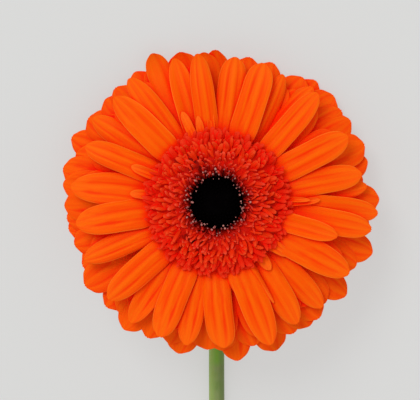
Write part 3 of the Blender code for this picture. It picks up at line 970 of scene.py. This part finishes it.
def stem_path():
    """Centre line, radius and length of the neck.

    The neck's heading turns from the head's axis to level by a smoothstep over just the
    length that brings it down to the surface: its fall and run are running sums of the
    heading's cosine and sine. The rest bows aside with the square of the distance.
    """
    start = head_centre - out_of_face * (cushion_depth + NECK_GAP)
    fine = np.linspace(0, 1, NECK_STEPS + 1)
    tilt = math.radians(lean)
    heading = tilt + (math.pi / 2 - tilt) * smooth(fine)
    middle = (heading[1:] + heading[:-1]) / 2
    down = np.concatenate(([0], np.cumsum(np.cos(middle)))) / NECK_STEPS
    back = np.concatenate(([0], np.cumsum(np.sin(middle)))) / NECK_STEPS
    neck_length = (start[2] - NECK_RADIUS) / down[-1]
    along = np.linspace(0, STEM_LENGTH, STEM_ROWS)
    in_neck = np.clip(along / neck_length, 0, 1)
    level = np.clip(along - neck_length, 0, None)
    y = start[1] - neck_length * np.interp(in_neck, fine, back) - level
    z = start[2] - neck_length * np.interp(in_neck, fine, down)
    radius = NECK_RADIUS + (CUT_RADIUS - NECK_RADIUS) * along / STEM_LENGTH
    z = np.where(along > neck_length, radius, z)
    bow = np.clip((along - BOW_START) / (STEM_LENGTH - BOW_START), 0, 1)
    return np.stack((start[0] + BOW * bow ** 2, y, z), axis=-1), radius, neck_length


path, radius, neck_length = stem_path()
print(f"the neck is {neck_length / MM:.1f} mm long and the stem ends at {path[-1] / MM} mm")


# %% The tube and the cut face
OFF_SURFACE = 0.05 * MM
RIBS, RIB_DEPTH, BEND_DEPTH = 8, 0.012, 0.01
# the cut face and the hollow behind it: share of the radius inward, mm back from the end
CUT_RINGS = ((0.06, -0.15), (0.25, -0.22), (0.52, -0.1), (0.56, 0.6), (0.54, 9.0))


def tube_frame(path):
    """Two directions across a path at each of its points, with no twist about it."""
    tangent = unit(np.gradient(path, axis=0))
    first = unit(sideways - (tangent @ sideways)[:, None] * tangent)
    return tangent, first, np.cross(tangent, first)


tangent, first, second = tube_frame(path)
spin = np.arange(STEM_SIDES) * 2 * math.pi / STEM_SIDES
along = np.linspace(0, 1, STEM_ROWS)
ribs = 1 - RIB_DEPTH * (1 - np.cos(RIBS * spin[None, :] + 3 * along[:, None]))
ribs = ribs - BEND_DEPTH * (1 + np.sin(23 * along[:, None] + 2 * spin[None, :]))
spoke = (first[:, None] * np.cos(spin)[None, :, None]
         + second[:, None] * np.sin(spin)[None, :, None])
walls = path[:, None] + spoke * (radius[:, None] * ribs)[..., None]
inset, back = np.array(CUT_RINGS).T[:, :, None, None]
ends = path[-1] - tangent[-1] * back * MM + spoke[-1] * radius[-1] * (1 - inset)
skin = np.concatenate((walls, ends))
skin[..., 2] += OFF_SURFACE
rows = len(skin)
CUT_FROM = (STEM_ROWS - 1) / (rows - 1)
uv = np.stack(np.broadcast_arrays(np.linspace(0, 1, rows)[:, None],
                                  (spin / (2 * math.pi))[None]), axis=-1)
print("stem rings:", rows)

# %% The stem's colour
FRESH_NECK = 60.0 * MM        # down the face from the head's middle to where the down starts


def stem_finish():
    """Green that greys with down, fresh at the neck, lit from the left, russet at the foot."""
    material, tree, shader = new_material("stem_green")
    along, round_stem, place = coordinates(tree)
    longwise = add_node(tree, "ShaderNodeMapping", {"Vector": place, "Scale": (1.0, 0.08, 1.0)})
    streak = noise(tree, longwise.outputs["Vector"], 1500.0, 3.0)
    cloud = noise(tree, place, 120.0)
    green = blend_colour(tree, streak, (0.095, 0.195, 0.022, 1), (0.225, 0.335, 0.080, 1))
    grey = fade(tree, cloud, 0.4, 0.75, 0.0, 0.4)
    green = blend_colour(tree, grey, green, (0.30, 0.33, 0.17, 1))
    away = add_node(tree, "ShaderNodeSeparateXYZ", {"Vector": place}).outputs["Y"]
    across_face = to_head(path)[:, 1]
    fresh_y = float(np.interp(-FRESH_NECK, across_face[::-1], path[::-1, 1]))
    fresh = fade(tree, away, fresh_y - 2.0 * MM, fresh_y + 2.0 * MM, 0.0, 0.8)
    green = blend_colour(tree, fresh, green, (0.165, 0.395, 0.028, 1))
    foot = fade(tree, away, float(path[-1][1]) + 0.09, float(path[-1][1]), 0.0, 0.55)
    colour = blend_colour(tree, foot, green, (0.20, 0.10, 0.05, 1))
    # painted light on the left side of the stem and painted shade on the right
    side = math_node(tree, "COSINE", times(tree, round_stem, 2 * math.pi))
    colour = blend_colour(tree, fade(tree, side, 0.1, -1.0, 0.0, 0.85), colour,
                          (0.31, 0.45, 0.11, 1))
    colour = blend_colour(tree, fade(tree, side, 0.0, 0.7, 0.0, 0.6), colour,
                          (0.12, 0.17, 0.05, 1))
    cut = fade(tree, along, CUT_FROM, CUT_FROM + 0.003)
    pith = blend_colour(tree, streak, (0.40, 0.46, 0.17, 1), (0.60, 0.62, 0.34, 1))
    colour = blend_colour(tree, cut, colour, pith)
    bump = add_node(tree, "ShaderNodeBump",
                    {"Height": streak, "Distance": 0.0001, "Strength": 0.7})
    set_inputs(tree, shader, {
        "Base Color": colour, "Roughness": fade(tree, streak, 0.2, 0.8, 0.45, 0.7),
        "Normal": bump.outputs["Normal"], "Specular IOR Level": 0.2, "Sheen Weight": 0.12,
        "Sheen Roughness": 0.4, "Subsurface Weight": 0.1, "Subsurface Scale": 0.001,
    })
    return material


faces = turned_faces(rows, STEM_SIDES, 1)
make_piece("stem_tube", skin.reshape(-1, 3), faces, uv, stem_finish(),
           ["stem"], closed=True)
print("stem faces:", len(faces))

# %% [markdown]
# ## Camera, floor and light
# The camera looks along the head's axis, so the face shows as a full circle. A big soft
# lamp beside it and an even sky light the petals from the front. A lamp from the side would
# be more dramatic, but its shadows turn orange petals brown. The floor is pale and plain and
# gives off a little light of its own, so it stays even round the flower.

# %% The camera
VIEW_WIDTH = 149.1 * MM
VIEW_DISTANCE = 0.9
VIEW_MIDDLE = np.array((-2.485, 0.8875, 0.0)) * MM      # in the head's frame
SENSOR_WIDTH = 36.0


def aim(item, place, target):
    """Put an item at a place with its -Z at a target and its +Y up along the face."""
    back = unit(place - target)
    right = unit(np.cross(face_up, back))
    rows = np.eye(4)
    rows[:3] = np.stack((right, np.cross(back, right), back, place), axis=1)
    item.matrix_world = Matrix(rows.tolist())


camera_data = bpy.data.cameras.new("camera")
camera_data.sensor_width = SENSOR_WIDTH
camera_data.lens = SENSOR_WIDTH * VIEW_DISTANCE / VIEW_WIDTH
camera = link_object("camera", camera_data)
target = to_world(VIEW_MIDDLE)
aim(camera, target + out_of_face * VIEW_DISTANCE, target)
scene.camera = camera
print(f"lens: {camera_data.lens:.0f} mm")

# %% The floor
HALF_FLOOR = 6.0
floor_mesh = bpy.data.meshes.new("floor")
floor_mesh.from_pydata([(x * HALF_FLOOR, y * HALF_FLOOR, 0)
                        for x, y in ((-1, -1), (1, -1), (1, 1), (-1, 1))],
                       [], [(0, 1, 2, 3)])
floor = link_object("floor", floor_mesh)
floor_material, floor_tree, floor_shader = new_material("floor_pale")
set_inputs(floor_tree, floor_shader, {
    "Base Color": (0.24, 0.243, 0.24, 1), "Emission Color": (1.0, 1.0, 0.985, 1),
    "Emission Strength": 0.468, "Roughness": 0.9, "Specular IOR Level": 0.1,
})
floor_mesh.materials.append(floor_material)
print("floor:", 2 * HALF_FLOOR, "m across")

# %% The light
world = bpy.data.worlds.new("studio")
world.use_nodes = True
sky = world.node_tree.nodes["Background"]
sky.inputs["Color"].default_value = (1, 1, 1, 1)
sky.inputs["Strength"].default_value = 0.69
scene.world = world
lamp = bpy.data.lights.new("key", "AREA")
lamp.shape, lamp.size, lamp.energy = "DISK", 1.0, 26.0
lamp_place = head_centre + out_of_face * 2.4 - sideways * 0.7 + face_up * 0.8
aim(link_object("key", lamp), lamp_place, head_centre)
scene.view_settings.view_transform = "Standard"
print("lamp:", lamp.energy, "W")
